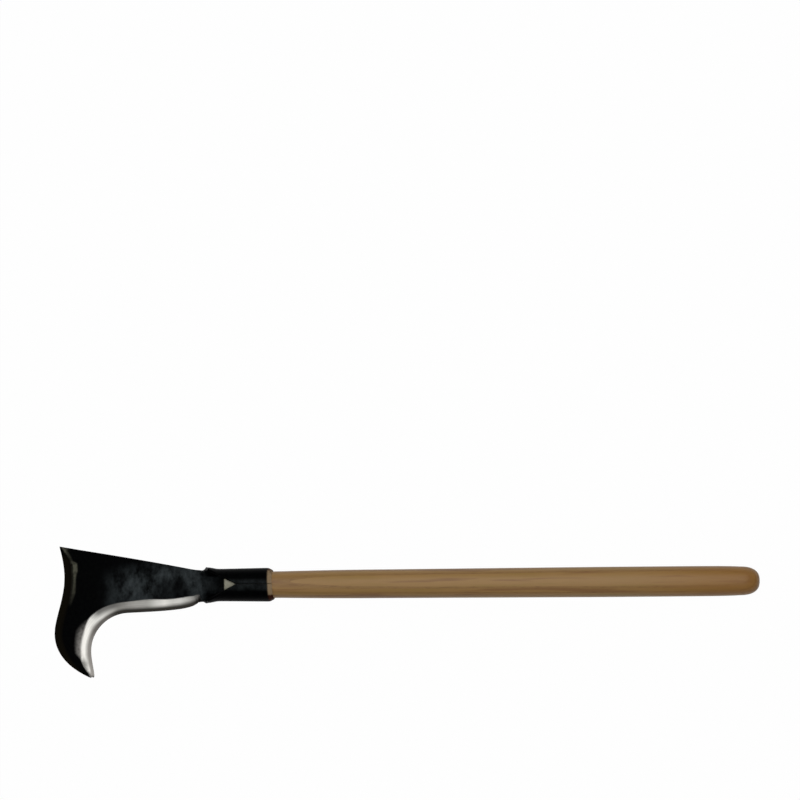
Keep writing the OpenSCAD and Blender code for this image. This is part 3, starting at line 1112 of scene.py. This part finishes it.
@dataclass
class WoodenHandle:
    """Turned handle: a tenon, a swell to the waist, a taper, a straight grip and a blunt butt.

    The butt is a quarter of a superellipse with a small flat at its tip. Sizes are in millimetres.
    """

    mouth: Vector
    wood: TurnedAsh
    nail: SocketNail
    length: float = 557.0
    tenon_length: float = 51.0
    tenon_end_radius: float = 14.22
    slim_radius: float = 15.1
    slim_length: float = 14.0
    waist_length: float = 130.0
    waist_radius: float = 16.3
    grip_radius: float = 17.2
    grip_start: float = 379.0
    grip_end: float = 519.0
    butt_start: float = 533.0
    butt_radius: float = 16.4
    butt_blunt: float = 0.77
    butt_tip: float = 0.05
    tenon_chamfer: float = 1.0
    swell_steps: int = 12
    taper_steps: int = 8
    butt_steps: int = 14
    sides: int = 96

    def stations(self) -> list[Pair]:
        """Work out the outline.

        Returns:
            Distance from the mouth and radius at each station, in millimetres.
        """
        outline = [
            (-self.tenon_length, self.tenon_end_radius - self.tenon_chamfer),
            (self.tenon_chamfer - self.tenon_length, self.tenon_end_radius),
            (-self.tenon_length / 2, (self.tenon_end_radius + self.slim_radius) / 2),
            (0.0, self.slim_radius),
        ]
        for i in range(self.swell_steps + 1):
            t = i / self.swell_steps
            x = self.slim_length + (self.waist_length - self.slim_length) * t
            swell = 1 - (1 - t) ** 2
            outline.append((x, self.slim_radius + (self.waist_radius - self.slim_radius) * swell))
        for i in range(1, self.taper_steps + 1):
            t = i / self.taper_steps
            x = self.waist_length + (self.grip_start - self.waist_length) * t
            outline.append((x, self.waist_radius + (self.grip_radius - self.waist_radius) * t))
        middle = (self.grip_start + self.grip_end) / 2
        outline += [(middle, self.grip_radius), (self.grip_end, self.grip_radius)]
        for i in range(self.butt_steps):
            a = math.pi / 2 * i / self.butt_steps
            x = self.butt_start + (self.length - self.butt_start) * math.sin(a) ** self.butt_blunt
            outline.append((x, self.butt_radius * math.cos(a) ** self.butt_blunt))
        return outline + [(self.length, self.butt_radius * self.butt_tip)]

    def build(self) -> bpy.types.Object:
        """Turn the handle, round it, drill it for the nail and dress it.

        Returns:
            The finished handle.
        """
        piece = turn_on_lathe("Wooden_handle", Axis.ALONG, self.mouth, self.stations(), self.sides)
        round_turned(piece, self.mouth.x)
        self.nail.drill(piece)
        shade_smooth(piece, TURNED_SMOOTH)
        material = self.wood.material(self.mouth, self.mouth.x + self.length * MM)
        dress(piece, material, "handle")
        return piece


@dataclass(frozen=True)
class SoftBox:
    """One soft light over the tool, in metres."""

    name: str
    place: Triple
    aim: Triple
    size: Pair
    watts: float


@dataclass
class Studio:
    """White floor, soft boxes, dim sky and the camera that looks straight down."""

    boxes: tuple[SoftBox, ...] = (
        SoftBox("Key_top", (0.0, 0.75, 1.2), (0.0, 0.0, 0.0), (1.6, 0.7), 8.2),
        SoftBox("Fill_low", (-0.15, -0.59, 1.4), (-0.15, 0.0, 0.0), (1.5, 0.62), 3.6),
        SoftBox("Fill_right", (0.3, 0.05, 1.4), (0.0, 0.05, 0.0), (0.7, 1.0), 4.6),
    )
    sky_heights: Pair = (0.2, 0.95)
    sky_levels: Pair = (0.16, 0.08)
    floor_size: float = 12.0
    floor_white: float = 0.42
    floor_glow: float = 0.988
    view_centre: Pair = (-0.0062, 0.2379)
    view_width: float = 0.908
    view_roll: float = -0.468
    view_height: float = 2.5

    def build(self) -> None:
        """Set up floor, light, sky and camera."""
        self.lay_floor()
        self.hang_boxes()
        self.paint_sky()
        self.set_camera()
        bpy.context.scene.view_settings.view_transform = "Standard"

    def lay_floor(self) -> None:
        """Lay a white floor that glows to the camera and to reflections, and keeps the shadow."""
        deselect_all()
        bpy.ops.mesh.primitive_plane_add(size=self.floor_size, location=(0.0, 0.0, 0.0))
        floor = bpy.context.object
        floor.name = "Floor"
        material = bpy.data.materials.new("White_paper_sweep")
        tree = empty_tree(material)
        seen = self.seen_rays(tree)
        glow = add_node(tree, "Math", {"operation": "MULTIPLY", 1: self.floor_glow}, {0: seen}).outputs[0]
        paper = add_node(tree, "BsdfDiffuse", {"Color": (*(self.floor_white,) * 3, 1.0)})
        light = add_node(tree, "Emission", {"Color": WHITE})
        mixed = add_node(tree, "MixShader", links={0: glow, 1: paper.outputs[0], 2: light.outputs[0]})
        add_node(tree, "OutputMaterial", links={"Surface": mixed.outputs[0]})
        floor.data.materials.append(material)

    @staticmethod
    def seen_rays(tree: bpy.types.NodeTree) -> bpy.types.NodeSocket:
        """Tell the rays that see the floor from those that it lights.

        Args:
            tree: the floor's node tree.

        Returns:
            The socket that is 1 for rays of the camera, of reflections and of transmission.
        """
        path = add_node(tree, "LightPath").outputs
        seen = path["Is Camera Ray"]
        for kind in ("Is Glossy Ray", "Is Transmission Ray"):
            seen = add_node(tree, "Math", {"operation": "MAXIMUM"}, {0: seen, 1: path[kind]}).outputs[0]
        return seen

    def hang_boxes(self) -> None:
        """Hang the soft boxes, each turned to the point that it lights."""
        for box in self.boxes:
            data = bpy.data.lights.new(box.name, "AREA")
            data.shape = "RECTANGLE"
            data.size, data.size_y = box.size
            data.energy = box.watts
            lamp = bpy.data.objects.new(box.name, data)
            lamp.location = box.place
            way = Vector(box.aim) - Vector(box.place)
            lamp.rotation_euler = way.to_track_quat("-Z", "Y").to_euler()
            bpy.context.scene.collection.objects.link(lamp)

    def paint_sky(self) -> None:
        """Give the room dim light from above and more from the sides; the camera sees white."""
        world = bpy.data.worlds.new("Studio_room")
        bpy.context.scene.world = world
        tree = empty_tree(world)
        way = add_node(tree, "TexCoord").outputs["Generated"]
        height = add_node(tree, "SeparateXYZ", links={"Vector": way}).outputs["Z"]
        low, high = self.sky_heights
        side, top = self.sky_levels
        level = add_node(
            tree,
            "MapRange",
            {"From Min": low, "From Max": high, "To Min": side, "To Max": top},
            {"Value": height},
        ).outputs["Result"]
        camera = add_node(tree, "LightPath").outputs["Is Camera Ray"]
        strength = add_node(tree, "Mix", {"data_type": "FLOAT", 3: 1.0}, {0: camera, 2: level}).outputs[0]
        sky = add_node(tree, "Background", {"Color": WHITE}, {"Strength": strength})
        add_node(tree, "OutputWorld", links={"Surface": sky.outputs[0]})

    def set_camera(self) -> None:
        """Look straight down on the tool, as the photograph does."""
        data = bpy.data.cameras.new("Camera")
        data.type = "ORTHO"
        data.ortho_scale = self.view_width
        camera = bpy.data.objects.new("Camera", data)
        camera.location = (*self.view_centre, self.view_height)
        camera.rotation_euler = (0.0, 0.0, math.radians(self.view_roll))
        bpy.context.scene.collection.objects.link(camera)
        bpy.context.scene.camera = camera


def main() -> None:
    """Build the tool and the studio in order."""
    logging.basicConfig(level=logging.INFO, format="%(name)s: %(message)s")
    low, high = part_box("handle")
    middle = (low + high) / 2
    mouth = Vector((high.x - WoodenHandle.length * MM, middle.y, middle.z))
    nail_low, nail_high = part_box("socket_nail")
    nail_centre = Vector(((nail_low.x + nail_high.x) / 2, (nail_low.y + nail_high.y) / 2, nail_low.z))
    nail = SocketNail(nail_centre, DrawnSteel())
    ForgedHead(mouth, BlackenedSteel()).build()
    WoodenHandle(mouth, TurnedAsh(), nail).build()
    nail.build()
    Studio().build()


if __name__ == "__main__":
    main()
